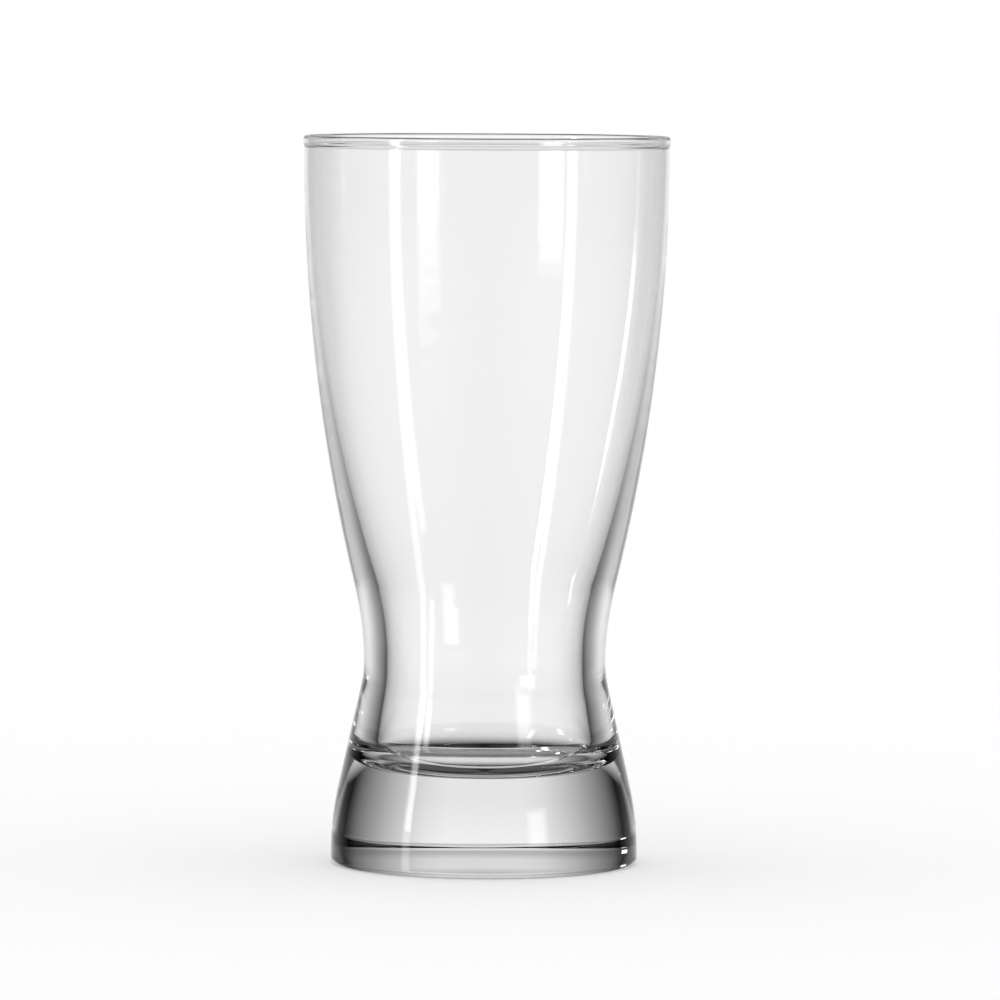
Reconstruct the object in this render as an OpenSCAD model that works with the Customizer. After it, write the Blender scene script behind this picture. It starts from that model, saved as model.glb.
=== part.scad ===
// Hourglass pilsner glass, a one-piece tumbler of clear pressed and blown glass.
// The glass is drawn as its four zones: the heavy base, the waist, the bowl and the
// rim bead. Neighbouring zones are fused glass and meet face to face on a flat ring.
// The origin is the middle of the resting plane, and +Z points up to the mouth.
// The outside and the cavity each follow a line of arcs that run into each other
// smoothly: a rounded flank, a drawn-in waist and a long, slightly barrelled bowl.

/* [Glass] */
// Height from the table to the top of the rim
glass_h = 145; // [125:1:170]
// Outside diameter of the rim bead
rim_d = 73; // [66:0.5:80]
// Height of the upright stretch of wall at the top, bead included
upright_h = 4; // [3.5:0.5:12]

/* [Rim bead] */
// Thickness of the bead, whose top and bottom are round
bead_d = 1.5; // [1.3:0.1:1.9]
// Height of the straight stretch between the bead's round top and bottom
bead_straight_h = 0.7; // [0.2:0.1:1.5]
// Thickness of the wall just below the bead
rim_wall = 1.1; // [0.9:0.05:1.3]
// Radius of the hollow curve from that wall out to the bead, inside and outside
bead_blend_r = 1.8; // [0.8:0.1:3]

/* [Waist] */
// Outside diameter of the waist
waist_d = 48.2; // [44:0.2:54]
// Height of the waist above the table
waist_h = 40.2; // [36:0.2:50]
// Outside radius of the curve from the waist up into the bowl
waist_upper_r = 62; // [30:1:150]
// Outside radius of the curve from the waist down into the flank
waist_lower_r = 21; // [12:1:28]
// Thickness of the glass at the waist
waist_wall = 4.6; // [3:0.1:6]

/* [Cavity] */
// How much higher the narrowest place lies in the cavity than it does outside
cavity_rise = 0.6; // [0:0.1:4]
// Radius of the cavity's curves above and below its narrowest place
cavity_waist_r = 52; // [30:1:90]
// Slope of the cavity wall between its narrowest place and its floor, in degrees
cavity_slope = 8.7; // [3:0.1:11]
// Radius of the rounded corner between the cavity's wall and its floor
floor_corner_r = 6.2; // [3:0.2:8]
// Slope of the dished cavity floor where it runs into that corner, in degrees
floor_slope = 3.4; // [1:0.1:8]

/* [Base] */
// Outside diameter of the base
base_d = 61.3; // [57:0.1:64]
// Thickness of the glass under the middle of the cavity floor
base_t = 17.2; // [13:0.1:20]
// Radius of the round outer flank of the base
flank_r = 68; // [30:1:76]
// Radius of the rounded heel where the flank meets the table
heel_r = 1.2; // [0.8:0.1:4]
// Width of the ring that the glass rests on
rest_ring_w = 1.2; // [0.8:0.1:5]
// Height of the shallow dome under the base
dome_h = 2.4; // [0.5:0.1:4]
// Radius of the rounded edge between that dome and the ring
dome_edge_r = 3.5; // [1:0.5:8]

/* [Hidden] */
$fn = 180;
// Straight steps that each arc of the section is drawn with
arc_steps = 16;
// Clear, colourless glass
glass_tint = [0.92, 0.92, 0.92, 0.4];

// Points along an arc between two angles, in degrees
function arc(centre, r, from, to) =
    [for (i = [0:arc_steps]) let (a = from + (to - from) * i / arc_steps) centre + r * [cos(a), sin(a)]];
// Slope, in degrees, where two arcs meet that together join one upright wall to another
function meeting_slope(step_out, step_up) = 2 * atan(step_out / step_up);
// Sum of the radii of two arcs that join two upright walls with no line between them
function longest_arcs(step_out, step_up) = (pow(step_out, 2) + pow(step_up, 2)) / (2 * step_out);
// Slope, in degrees, of the line between two arcs whose radii sum to less than that
function line_slope(step_out, step_up, arcs_r) =
    let (across = arcs_r - step_out, line_squared = pow(across, 2) + pow(step_up, 2) - pow(arcs_r, 2))
    atan2(step_up, across) - atan2(sqrt(max(line_squared, 0)), arcs_r);

// Rim bead, and the flat ring on which it joins the wall
bead_r = bead_d / 2;
bead_top_z = glass_h - bead_r;
bead_foot_z = bead_top_z - bead_straight_h;
bead_axis_r = rim_d / 2 - bead_r;
side_r = bead_axis_r + rim_wall / 2;
mouth_r = bead_axis_r - rim_wall / 2;
blend_tilt = asin((rim_wall / 2 + bead_blend_r) / (bead_r + bead_blend_r));
bead_seat_z = bead_foot_z - (bead_r + bead_blend_r) * cos(blend_tilt);
side_top_z = glass_h - upright_h;

// Outside, from the waist up
waist_r = waist_d / 2;
bowl_slope = meeting_slope(side_r - waist_r, side_top_z - waist_h);
bowl_start_z = waist_h + waist_upper_r * sin(bowl_slope);
bowl_arc_r = (side_top_z - waist_h) / sin(bowl_slope) - waist_upper_r;

// Outside, from the waist down. The flank's arc is no longer than its wall has room for.
base_r = base_d / 2;
flank_arcs_r = min(waist_lower_r + flank_r, longest_arcs(base_r - waist_r, waist_h - heel_r));
flank_arc_r = flank_arcs_r - waist_lower_r;
flank_slope = line_slope(base_r - waist_r, waist_h - heel_r, flank_arcs_r);

// Cavity, from its narrowest place up
narrow_r = waist_r - waist_wall;
narrow_z = waist_h + cavity_rise;
cavity_bowl_slope = meeting_slope(mouth_r - narrow_r, side_top_z - narrow_z);
cavity_bowl_r = (side_top_z - narrow_z) / sin(cavity_bowl_slope) - cavity_waist_r;

// Cavity, from its narrowest place down to the floor. The corner's arc touches the sloping
// wall above it, and the dished floor below it.
cavity_line_top_z = narrow_z - cavity_waist_r * sin(cavity_slope);
cavity_line_top_r = narrow_r + cavity_waist_r * (1 - cos(cavity_slope));
lowest_corner_z = base_t + floor_corner_r;
lowest_corner_axis_r = cavity_line_top_r + (cavity_line_top_z - lowest_corner_z) * tan(cavity_slope)
    - floor_corner_r / cos(cavity_slope);
corner_axis_r = lowest_corner_axis_r / (1 + tan(floor_slope / 2) * tan(cavity_slope));
corner_z = lowest_corner_z + corner_axis_r * tan(floor_slope / 2);
base_top_z = corner_z + floor_corner_r * sin(cavity_slope);
floor_sphere_r = corner_axis_r / sin(floor_slope) + floor_corner_r;

// Underside, a shallow dome inside the ring that rests on the table
ring_inner_r = base_r - heel_r - rest_ring_w;
dome_sphere_r = (pow(ring_inner_r, 2) + pow(dome_h, 2)) / (2 * dome_h) - dome_edge_r;
dome_tilt = asin(ring_inner_r / (dome_sphere_r + dome_edge_r));

// Half section of the glass below the bead: up the outside, then down the cavity
section = concat(
    arc([0, dome_h - dome_sphere_r], dome_sphere_r, 90, 90 - dome_tilt),
    arc([ring_inner_r, dome_edge_r], dome_edge_r, -90 - dome_tilt, -90),
    arc([base_r - heel_r, heel_r], heel_r, -90, 0),
    arc([base_r - flank_arc_r, heel_r], flank_arc_r, 0, flank_slope),
    arc([waist_r + waist_lower_r, waist_h], waist_lower_r, 180 + flank_slope, 180),
    arc([waist_r + waist_upper_r, waist_h], waist_upper_r, 180, 180 - bowl_slope),
    arc([side_r - bowl_arc_r, side_top_z], bowl_arc_r, -bowl_slope, 0),
    [[side_r, bead_seat_z], [mouth_r, bead_seat_z]],
    arc([mouth_r - cavity_bowl_r, side_top_z], cavity_bowl_r, 0, -cavity_bowl_slope),
    arc([narrow_r + cavity_waist_r, narrow_z], cavity_waist_r, 180 - cavity_bowl_slope, 180 + cavity_slope),
    arc([corner_axis_r, corner_z], floor_corner_r, cavity_slope, floor_slope - 90),
    arc([0, base_t + floor_sphere_r], floor_sphere_r, floor_slope - 90, -90)
);

// Section of the bead: out from the wall and round the lower edge outside, over the top,
// then the same way back to the wall inside
bead_section = concat(
    arc([side_r + bead_blend_r, bead_seat_z], bead_blend_r, 180, 90 + blend_tilt),
    arc([bead_axis_r, bead_foot_z], bead_r, blend_tilt - 90, 0),
    arc([bead_axis_r, bead_top_z], bead_r, 0, 180),
    arc([bead_axis_r, bead_foot_z], bead_r, 180, 270 - blend_tilt),
    arc([mouth_r - bead_blend_r, bead_seat_z], bead_blend_r, 90 - blend_tilt, 0)
);

// Everything between two heights, in the half section
module band(z0, z1) {
    translate([0, z0]) square([rim_d, z1 - z0]);
}

// One zone of the glass, cut flat at two heights
module zone(z0, z1) {
    color(glass_tint) rotate_extrude() intersection() {
        polygon(section);
        band(z0, z1);
    }
}

// Thick bottom, up to the end of the cavity's rounded corner
module heavy_base() {
    zone(0, base_top_z);
}

// Narrow, thick-walled stretch from the base up to the end of the waist's curve
module waist() {
    zone(base_top_z, bowl_start_z);
}

// Tall wall that thins out towards the mouth
module bowl() {
    zone(bowl_start_z, bead_seat_z);
}

// Round, fire-polished lip, cut flat where it joins the wall
module rim_bead() {
    color(glass_tint) rotate_extrude() polygon(bead_section);
}

heavy_base();
waist();
bowl();
rim_bead();
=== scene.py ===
# Clear hourglass pilsner glass, turned as one closed body, on a white floor in a plain studio.
# Lengths are in metres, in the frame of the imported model: the origin is in the middle of the
# resting plane, +Z points up to the mouth, and the camera looks along +Y.
from math import asin, atan, atan2, cos, hypot, pi, radians, sin, sqrt, tan

import bpy
from mathutils import Matrix, Vector


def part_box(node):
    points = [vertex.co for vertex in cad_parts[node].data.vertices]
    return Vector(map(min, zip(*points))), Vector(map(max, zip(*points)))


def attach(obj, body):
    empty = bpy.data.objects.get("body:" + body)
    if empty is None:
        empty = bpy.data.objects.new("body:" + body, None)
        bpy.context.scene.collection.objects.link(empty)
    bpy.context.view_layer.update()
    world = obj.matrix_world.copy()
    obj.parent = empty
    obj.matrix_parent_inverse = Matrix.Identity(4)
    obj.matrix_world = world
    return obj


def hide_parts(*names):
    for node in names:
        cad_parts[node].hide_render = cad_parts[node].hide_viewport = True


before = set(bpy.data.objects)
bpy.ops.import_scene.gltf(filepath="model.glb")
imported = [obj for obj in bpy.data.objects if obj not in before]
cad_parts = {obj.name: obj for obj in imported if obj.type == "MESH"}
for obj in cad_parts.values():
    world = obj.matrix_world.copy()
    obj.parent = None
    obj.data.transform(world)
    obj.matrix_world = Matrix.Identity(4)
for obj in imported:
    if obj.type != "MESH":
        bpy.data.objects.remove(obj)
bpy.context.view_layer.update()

MM = 0.001
# Points that lie closer together than this count as one
TOUCHING = 0.001 * MM

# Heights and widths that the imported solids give
GLASS_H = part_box("rim_bead")[1].z
RIM_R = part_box("rim_bead")[1].x
BASE_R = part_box("heavy_base")[1].x

# Rim: radius of the bead's round ends and the straight stretch between them, the wall below,
# the hollow curve from the wall out to the bead, and the whole upright stretch
BEAD_R = 0.75 * MM
BEAD_STRAIGHT = 0.7 * MM
RIM_WALL = 1.1 * MM
BEAD_BLEND_R = 1.8 * MM
UPRIGHT_H = 4 * MM

# Waist: where it is narrowest outside, and the radii of the curves above and below that place
WAIST_R = 24.1 * MM
WAIST_Z = 40.2 * MM
WAIST_UPPER_R = 62 * MM
WAIST_LOWER_R = 21 * MM
WAIST_WALL = 4.6 * MM

# Cavity: its narrowest place, its wall below that, the corner at its floor, and the dished floor
CAVITY_RISE = 0.6 * MM
CAVITY_WAIST_R = 52 * MM
CAVITY_SLOPE = radians(8.7)
FLOOR_CORNER_R = 6.2 * MM
FLOOR_SLOPE = radians(3.4)
BASE_T = 17.2 * MM

# Base: round flank, heel, the ring that the glass rests on, and the shallow dome inside it
FLANK_R = 68 * MM
HEEL_R = 1.2 * MM
REST_RING_W = 1.2 * MM
DOME_H = 2.4 * MM
DOME_EDGE_R = 3.5 * MM

# How finely the section's arcs are drawn, and how many steps go round the glass
ARC_STEP = radians(3)
CHORD_STEP = 1.0 * MM
ROUND_STEPS = 192

# Glass: refractive index, and how much grey it takes on through its thickness
GLASS_IOR = 1.52
GLASS_TINT = (0.90, 0.90, 0.90, 1)
GLASS_DENSITY = 14.0

# Faint ripples that the mould leaves: how many to the metre across and up, and their height
RIPPLES_ACROSS = 40
RIPPLES_UP = 220
RIPPLE_H = 0.02 * MM
RIPPLE_DETAIL = 1

# Camera: a long lens a little above the rim, as the photo was taken, and how far it sees
CAMERA_PLACE = (0, -1.475, 0.166)
CAMERA_AIM = (0.0029, 0, 0.0725)
CAMERA_LENS_MM = 267
CAMERA_SENSOR_MM = 36
CAMERA_ROLL = radians(0.28)
CAMERA_REACH = 20

# Reflections and refractions that one ray may go through, for the many walls that it crosses.
# Rays that the glass reflects more often than this stay dark, as in its darkest corners.
MOST_BOUNCES = 24
MOST_REFLECTIONS = 10


def glass_section():
    """Half section of the glass: (r, z) points with their outward normals.

    It starts in the middle of the underside, runs out and up the outside, over the rim bead,
    and back down the cavity to the middle of its floor.
    """
    points, normals = [], []

    def add(r, z, facing):
        if points and hypot(r - points[-1][0], z - points[-1][1]) < TOUCHING:
            return
        points.append((r, z))
        normals.append((cos(facing), sin(facing)))

    def arc(centre, radius, start, end, air_inside=False):
        turn = abs(end - start)
        steps = max(2, round(turn / ARC_STEP), round(turn * radius / CHORD_STEP))
        for i in range(steps + 1):
            angle = start + (end - start) * i / steps
            facing = angle + pi if air_inside else angle
            add(centre[0] + radius * cos(angle), centre[1] + radius * sin(angle), facing)

    # Underside: shallow dome, and the rounded edge where it meets the resting ring
    ring_inner_r = BASE_R - HEEL_R - REST_RING_W
    dome_r = (ring_inner_r**2 + DOME_H**2) / (2 * DOME_H) - DOME_EDGE_R
    dome_tilt = asin(ring_inner_r / (dome_r + DOME_EDGE_R))
    arc((0, DOME_H - dome_r), dome_r, pi / 2, pi / 2 - dome_tilt, air_inside=True)
    arc((ring_inner_r, DOME_EDGE_R), DOME_EDGE_R, -pi / 2 - dome_tilt, -pi / 2)

    # Heel, flank and waist
    arcs_r = WAIST_LOWER_R + FLANK_R
    across, up = arcs_r - (BASE_R - WAIST_R), WAIST_Z - HEEL_R
    flank_slope = atan2(up, across) - atan2(sqrt(across**2 + up**2 - arcs_r**2), arcs_r)
    arc((BASE_R - HEEL_R, HEEL_R), HEEL_R, -pi / 2, 0)
    arc((BASE_R - FLANK_R, HEEL_R), FLANK_R, 0, flank_slope)
    arc((WAIST_R + WAIST_LOWER_R, WAIST_Z), WAIST_LOWER_R, pi + flank_slope, pi, air_inside=True)

    # Bowl, outside
    bead_axis_r = RIM_R - BEAD_R
    bead_z = GLASS_H - BEAD_R
    side_r = bead_axis_r + RIM_WALL / 2
    side_top_z = GLASS_H - UPRIGHT_H
    bowl_slope = 2 * atan((side_r - WAIST_R) / (side_top_z - WAIST_Z))
    bowl_r = (side_top_z - WAIST_Z) / sin(bowl_slope) - WAIST_UPPER_R
    arc((WAIST_R + WAIST_UPPER_R, WAIST_Z), WAIST_UPPER_R, pi, pi - bowl_slope, air_inside=True)
    arc((side_r - bowl_r, side_top_z), bowl_r, -bowl_slope, 0)

    # Rim bead, with a small hollow curve on either side where it grows out of the wall
    mouth_r = bead_axis_r - RIM_WALL / 2
    blend_tilt = asin((RIM_WALL / 2 + BEAD_BLEND_R) / (BEAD_R + BEAD_BLEND_R))
    bead_low_z = bead_z - BEAD_STRAIGHT
    blend_z = bead_low_z - (BEAD_R + BEAD_BLEND_R) * cos(blend_tilt)
    arc((side_r + BEAD_BLEND_R, blend_z), BEAD_BLEND_R, pi, pi / 2 + blend_tilt, air_inside=True)
    arc((bead_axis_r, bead_low_z), BEAD_R, blend_tilt - pi / 2, 0)
    arc((bead_axis_r, bead_z), BEAD_R, 0, pi)
    arc((bead_axis_r, bead_low_z), BEAD_R, pi, 3 * pi / 2 - blend_tilt)
    arc((mouth_r - BEAD_BLEND_R, blend_z), BEAD_BLEND_R, pi / 2 - blend_tilt, 0, air_inside=True)

    # Cavity, down to the middle of its floor
    narrow_r = WAIST_R - WAIST_WALL
    narrow_z = WAIST_Z + CAVITY_RISE
    cavity_bowl_slope = 2 * atan((mouth_r - narrow_r) / (side_top_z - narrow_z))
    cavity_bowl_r = (side_top_z - narrow_z) / sin(cavity_bowl_slope) - CAVITY_WAIST_R
    line_top_r = narrow_r + CAVITY_WAIST_R * (1 - cos(CAVITY_SLOPE))
    line_top_z = narrow_z - CAVITY_WAIST_R * sin(CAVITY_SLOPE)
    lowest_z = BASE_T + FLOOR_CORNER_R
    lowest_r = line_top_r + (line_top_z - lowest_z) * tan(CAVITY_SLOPE) - FLOOR_CORNER_R / cos(CAVITY_SLOPE)
    corner_r = lowest_r / (1 + tan(FLOOR_SLOPE / 2) * tan(CAVITY_SLOPE))
    corner_z = lowest_z + corner_r * tan(FLOOR_SLOPE / 2)
    floor_r = corner_r / sin(FLOOR_SLOPE) + FLOOR_CORNER_R
    arc((mouth_r - cavity_bowl_r, side_top_z), cavity_bowl_r, 0, -cavity_bowl_slope, air_inside=True)
    arc((narrow_r + CAVITY_WAIST_R, narrow_z), CAVITY_WAIST_R, pi - cavity_bowl_slope, pi + CAVITY_SLOPE)
    arc((corner_r, corner_z), FLOOR_CORNER_R, CAVITY_SLOPE, FLOOR_SLOPE - pi / 2, air_inside=True)
    arc((0, BASE_T + floor_r), floor_r, FLOOR_SLOPE - pi / 2, -pi / 2, air_inside=True)
    return points, normals


def turned_mesh(name, points, normals):
    """A closed mesh from a half section whose first and last points lie on the axis."""
    vertices, facings, faces = [], [], []
    rings = []
    for (r, z), (out, up) in zip(points, normals):
        steps = 1 if r < TOUCHING else ROUND_STEPS
        rings.append(range(len(vertices), len(vertices) + steps))
        for j in range(steps):
            turn = 2 * pi * j / ROUND_STEPS
            vertices.append((r * cos(turn), r * sin(turn), z))
            facings.append((out * cos(turn), out * sin(turn), up))
    for low, high in zip(rings, rings[1:]):
        for j in range(ROUND_STEPS):
            k = (j + 1) % ROUND_STEPS
            if len(low) == 1:
                faces.append((low[0], high[k], high[j]))
            elif len(high) == 1:
                faces.append((low[j], low[k], high[0]))
            else:
                faces.append((low[j], low[k], high[k], high[j]))
    mesh = bpy.data.meshes.new(name)
    mesh.from_pydata(vertices, [], faces)
    mesh.shade_smooth()
    mesh.normals_split_custom_set_from_vertices(facings)
    return mesh


def added(name, data):
    thing = bpy.data.objects.new(name, data)
    bpy.context.scene.collection.objects.link(thing)
    return thing


def computed(tree, operation, *values, clamp=False):
    """A Math node fed by sockets or numbers; gives its output socket."""
    node = tree.nodes.new("ShaderNodeMath")
    node.operation = operation
    node.use_clamp = clamp
    for socket, value in zip(node.inputs, values):
        if isinstance(value, bpy.types.NodeSocket):
            tree.links.new(value, socket)
        else:
            socket.default_value = value
    return node.outputs[0]


def degrees(tree, angle):
    return computed(tree, "MULTIPLY", angle, 180 / pi)


def mixed(tree, share, low, high):
    """A level that goes from low to high as share goes from 0 to 1."""
    node = tree.nodes.new("ShaderNodeMix")
    # The node's second input is a share for vectors, which levels leave alone
    for socket, value in zip(node.inputs, (share, None, low, high)):
        if isinstance(value, bpy.types.NodeSocket):
            tree.links.new(value, socket)
        elif value is not None:
            socket.default_value = value
    return node.outputs[0]


def ramp(tree, value, stops):
    """A level that follows value in straight lines between stops of (value, level)."""
    low, high = stops[0][0], stops[-1][0]
    share = computed(tree, "DIVIDE", computed(tree, "SUBTRACT", value, low), high - low, clamp=True)
    node = tree.nodes.new("ShaderNodeValToRGB")
    elements = node.color_ramp.elements
    for element, (place, level) in zip(elements, (stops[0], stops[-1])):
        element.position = (place - low) / (high - low)
        element.color = (level, level, level, 1)
    for place, level in stops[1:-1]:
        elements.new((place - low) / (high - low)).color = (level, level, level, 1)
    tree.links.new(share, node.inputs["Fac"])
    return node.outputs["Color"]


def glass_material():
    material = bpy.data.materials.new("clear_glass")
    material.use_nodes = True
    tree = material.node_tree
    shader = tree.nodes["Principled BSDF"]
    shader.inputs["Base Color"].default_value = (1, 1, 1, 1)
    shader.inputs["Roughness"].default_value = 0
    shader.inputs["IOR"].default_value = GLASS_IOR
    shader.inputs["Transmission Weight"].default_value = 1
    place = tree.nodes.new("ShaderNodeTexCoord").outputs["Object"]
    stretch = tree.nodes.new("ShaderNodeMapping")
    stretch.inputs["Scale"].default_value = (RIPPLES_ACROSS, RIPPLES_ACROSS, RIPPLES_UP)
    ripples = tree.nodes.new("ShaderNodeTexNoise")
    ripples.inputs["Scale"].default_value = 1
    ripples.inputs["Detail"].default_value = RIPPLE_DETAIL
    bump = tree.nodes.new("ShaderNodeBump")
    bump.inputs["Strength"].default_value = 1
    bump.inputs["Distance"].default_value = RIPPLE_H
    tree.links.new(place, stretch.inputs["Vector"])
    tree.links.new(stretch.outputs["Vector"], ripples.inputs["Vector"])
    tree.links.new(ripples.outputs["Fac"], bump.inputs["Height"])
    tree.links.new(bump.outputs["Normal"], shader.inputs["Normal"])
    volume = tree.nodes.new("ShaderNodeVolumeAbsorption")
    volume.inputs["Color"].default_value = GLASS_TINT
    volume.inputs["Density"].default_value = GLASS_DENSITY
    tree.links.new(volume.outputs["Volume"], tree.nodes["Material Output"].inputs["Volume"])
    return material


# Brightness of the studio as the glass shows it. The side stops are degrees to either side of
# straight behind the glass, and the height stops are degrees above or below the horizon.
BACKDROP_SIDE = [
    (0, 1), (10, 1), (16, 0.92), (22, 0.75), (28, 0.59), (34, 0.43), (42, 0.28), (50, 0.14), (58, 0),
]
BACKDROP_HEIGHT = [
    (-40, 0), (-34, 0.4), (-28, 0.74), (-22, 0.88), (-15, 0.9), (-9, 1), (0, 1),
    (4, 0.6), (8, 0.6), (14, 0.82), (20, 0.77), (30, 0.9), (36, 0.9), (44, 0),
]
BACKDROP_LEVEL = 1.03
# The same heights for rays that the glass has also reflected, which find the floor dark round 30
# degrees down and the backdrop dark high up
REFLECTED_HEIGHT = [
    (-60, 0.1), (-48, 0.5), (-34, 0.26), (-28, 0.16), (-22, 0.72), (-15, 0.95), (-9, 1), (0, 0.85),
    (4, 0.52), (8, 0.55), (14, 0.78), (20, 0.8), (28, 0.4), (36, 0.2), (44, 0.1),
]
# The room beside and behind the camera: a faint glow low down, and more light from above
ROOM_SIDE = [(58, 0), (66, 1), (150, 1), (170, 0.3)]
ROOM_HEIGHT = [(-32, 0.08), (-22, 0.35), (-10, 0.35), (-4, 0.08), (46, 0.08), (58, 0.5)]
# Pale cards for rays that only pass through the walls: one to the sides, one low down beside the
# backdrop, and one far below, which keeps the glass clear when it is seen from above
CARD_SIDE = [(68, 0), (85, 0.9)]
LOW_CARD_SIDE = [(22, 0), (34, 0.9)]
LOW_CARD_HEIGHT = [(-26, 1), (-22, 0)]
GROUND_CARD_HEIGHT = [(-58, 0.9), (-50, 0)]
# Level of the even light that falls on the floor
DIFFUSE_WORLD = 1.05

# Floor: its colour, half its side, and how far it lies under the glass, so that they don't touch
FLOOR_COLOUR = (0.95, 0.95, 0.95, 1)
FLOOR_REACH = 3
FLOOR_DROP = 0.05 * MM

# Each softbox is a stack of layers, one behind the other. From layer to layer its sides and its
# ends step inwards, by these shares of its width divided by the number of layers. The gap keeps
# the layers apart, because lamps in one place would count as one.
SOFT_LAYERS = 4
SOFT_EDGE_SHARE = 0.3
SOFT_END_SHARE = 0.12
LAYER_GAP = 2 * MM


def studio_world():
    """White for the camera, even white light, and a studio pattern for what the glass shows."""
    world = bpy.data.worlds.new("studio")
    bpy.context.scene.world = world
    world.use_nodes = True
    tree = world.node_tree
    tree.nodes.clear()
    coordinates = tree.nodes.new("ShaderNodeTexCoord")
    split = tree.nodes.new("ShaderNodeSeparateXYZ")
    tree.links.new(coordinates.outputs["Generated"], split.inputs[0])
    x, y, z = split.outputs
    side = computed(tree, "ABSOLUTE", degrees(tree, computed(tree, "ARCTAN2", x, y)))
    height = degrees(tree, computed(tree, "ARCSINE", z))

    path = tree.nodes.new("ShaderNodeLightPath").outputs
    reflected = computed(tree, "MINIMUM", path["Glossy Depth"], 1)
    passing_height = ramp(tree, height, BACKDROP_HEIGHT)
    reflected_height = ramp(tree, height, REFLECTED_HEIGHT)
    by_height = mixed(tree, reflected, passing_height, reflected_height)
    backdrop = computed(tree, "MULTIPLY", ramp(tree, side, BACKDROP_SIDE), by_height)
    backdrop = computed(tree, "MULTIPLY", backdrop, BACKDROP_LEVEL)
    room = computed(tree, "MULTIPLY", ramp(tree, side, ROOM_SIDE), ramp(tree, height, ROOM_HEIGHT))

    low_card_height = ramp(tree, height, LOW_CARD_HEIGHT)
    low_card = computed(tree, "MULTIPLY", ramp(tree, side, LOW_CARD_SIDE), low_card_height)
    cards = computed(tree, "MAXIMUM", ramp(tree, side, CARD_SIDE), low_card)
    cards = computed(tree, "MAXIMUM", cards, ramp(tree, height, GROUND_CARD_HEIGHT))
    around = mixed(tree, reflected, cards, room)
    shown = computed(tree, "MAXIMUM", backdrop, around)

    through_glass = computed(tree, "MAXIMUM", path["Is Glossy Ray"], path["Is Transmission Ray"])
    from_floor = computed(tree, "MINIMUM", path["Diffuse Depth"], 1)
    shows_studio = computed(tree, "MULTIPLY", through_glass, computed(tree, "SUBTRACT", 1, from_floor))
    even = mixed(tree, path["Is Camera Ray"], DIFFUSE_WORLD, 1)
    background = tree.nodes.new("ShaderNodeBackground")
    background.inputs["Color"].default_value = (1, 1, 1, 1)
    tree.links.new(mixed(tree, shows_studio, even, shown), background.inputs["Strength"])
    output = tree.nodes.new("ShaderNodeOutputWorld")
    tree.links.new(background.outputs[0], output.inputs["Surface"])


def floor():
    mesh = bpy.data.meshes.new("floor")
    signs = [(-1, -1), (1, -1), (1, 1), (-1, 1)]
    corners = [(x * FLOOR_REACH, y * FLOOR_REACH, -FLOOR_DROP) for x, y in signs]
    mesh.from_pydata(corners, [], [(0, 1, 2, 3)])
    plane = added("floor", mesh)
    material = bpy.data.materials.new("white_floor")
    material.use_nodes = True
    shader = material.node_tree.nodes["Principled BSDF"]
    shader.inputs["Base Color"].default_value = FLOOR_COLOUR
    shader.inputs["Roughness"].default_value = 1
    shader.inputs["Specular IOR Level"].default_value = 0
    mesh.materials.append(material)
    plane.visible_glossy = False
    plane.visible_transmission = False


def softbox(name, azimuth, distance, z_low, z_high, width, radiance, seen_in_reflections=True):
    """An upright lamp with soft edges. Its azimuth runs from the camera's side to the right."""
    turn = radians(azimuth)
    for i in range(SOFT_LAYERS):
        side_trim = SOFT_EDGE_SHARE * width * i / SOFT_LAYERS
        end_trim = SOFT_END_SHARE * width * i / SOFT_LAYERS
        away = distance + LAYER_GAP * i
        data = bpy.data.lights.new(f"{name}_{i}", "AREA")
        data.shape = "RECTANGLE"
        data.size = width - 2 * side_trim
        data.size_y = z_high - z_low - 2 * end_trim
        data.energy = radiance / SOFT_LAYERS * pi * data.size * data.size_y
        light = added(data.name, data)
        light.location = (away * sin(turn), -away * cos(turn), (z_low + z_high) / 2)
        light.rotation_euler = (pi / 2, 0, turn)
        light.visible_camera = False
        light.visible_diffuse = False
        light.visible_glossy = seen_in_reflections
        light.visible_shadow = False


def softboxes():
    """The lamps whose shapes show as highlights on the glass."""
    # Tall strip on the left, with a brighter core, brightest of all at the top
    softbox("left_strip", azimuth=-60, distance=1.1, z_low=-0.7, z_high=0.75, width=0.16, radiance=2.8)
    softbox("left_core", azimuth=-59, distance=1.08, z_low=0.1, z_high=0.75, width=0.12, radiance=5)
    softbox("left_top", azimuth=-59, distance=1.06, z_low=0.38, z_high=0.6, width=0.1, radiance=9)
    # Low softbox on the right
    softbox(
        "right_softbox", azimuth=40.5, distance=0.68, z_low=0.022, z_high=0.17, width=0.21, radiance=3.8,
    )
    # Small lamp behind on the left, for the thin highlight near the right edge of the bowl
    softbox(
        "back_strip", azimuth=-123.5, distance=2, z_low=0.15, z_high=0.3, width=0.25, radiance=4.5,
        seen_in_reflections=False,
    )


def camera():
    data = bpy.data.cameras.new("photo_camera")
    data.lens = CAMERA_LENS_MM
    data.sensor_width = CAMERA_SENSOR_MM
    data.clip_end = CAMERA_REACH
    eye = added("photo_camera", data)
    eye.location = CAMERA_PLACE
    look = (Vector(CAMERA_AIM) - Vector(CAMERA_PLACE)).to_track_quat("-Z", "Y").to_matrix().to_4x4()
    eye.rotation_euler = (look @ Matrix.Rotation(CAMERA_ROLL, 4, "Z")).to_euler()
    bpy.context.scene.camera = eye


points, normals = glass_section()
body = added("glass_body", turned_mesh("glass_body", points, normals))
body.data.materials.append(glass_material())
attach(body, "root")
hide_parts("heavy_base", "waist", "bowl", "rim_bead")
studio_world()
floor()
softboxes()
camera()
scene = bpy.context.scene
scene.view_settings.view_transform = "Standard"
scene.cycles.max_bounces = MOST_BOUNCES
scene.cycles.transmission_bounces = MOST_BOUNCES
scene.cycles.glossy_bounces = MOST_REFLECTIONS
